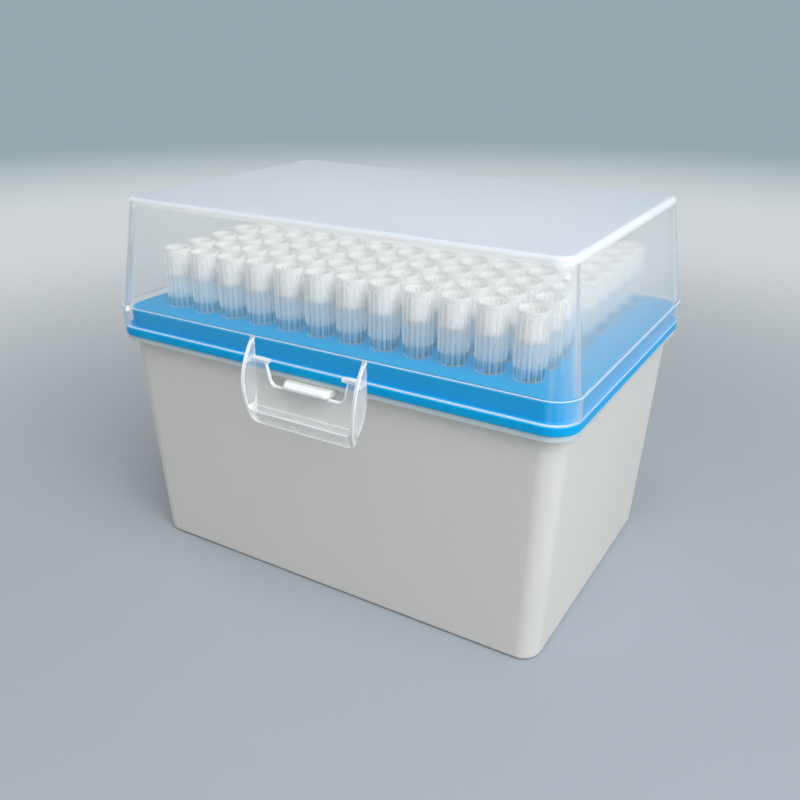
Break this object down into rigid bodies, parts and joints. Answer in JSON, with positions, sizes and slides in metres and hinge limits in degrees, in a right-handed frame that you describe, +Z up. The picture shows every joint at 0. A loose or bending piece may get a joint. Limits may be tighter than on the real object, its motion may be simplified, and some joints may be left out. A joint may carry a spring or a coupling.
{
  "type": "pipette tip box",
  "caption": "Tall box of filter pipette tips hanging in rows from a raised deck, under a clear hinged lid with a front latch.",
  "frame": {"origin": "centre of the base's flat underside", "axes": "+Z up, +X along the box's length, -Y towards the latch, +Y towards the lid's hinge"},
  "size_m": [0.1276, 0.0966, 0.0965],
  "materials": {
    "white_plastic": "fine satin",
    "blue_plastic": "satin",
    "clear_plastic": "clear, faintly milky",
    "tip_plastic": "translucent natural",
    "filter_foam": "porous"
  },
  "bodies": {
    "box": {"base": "white_plastic", "deck": "blue_plastic", "tips_row_a": "tip_plastic", "tips_row_b": "tip_plastic", "tips_row_c": "tip_plastic", "tips_row_d": "tip_plastic", "tips_row_e": "tip_plastic", "tips_row_f": "tip_plastic", "tips_row_g": "tip_plastic", "tips_row_h": "tip_plastic", "filters_row_a": "filter_foam", "filters_row_b": "filter_foam", "filters_row_c": "filter_foam", "filters_row_d": "filter_foam", "filters_row_e": "filter_foam", "filters_row_f": "filter_foam", "filters_row_g": "filter_foam", "filters_row_h": "filter_foam"},
    "lid": {"lid": "clear_plastic"},
    "latch": {"latch": "clear_plastic"}
  },
  "joints": [
    {"name": "lid_hinge", "type": "hinge", "parent": "box", "child": "lid", "pos_m": [0, 0.0458, 0.0604], "axis": [-1, 0, 0], "range_deg": [0, 105]},
    {"name": "latch_hinge", "type": "hinge", "parent": "lid", "child": "latch", "pos_m": [0, -0.04355, 0.069], "axis": [-1, 0, 0], "range_deg": [0, 80]}
  ]
}
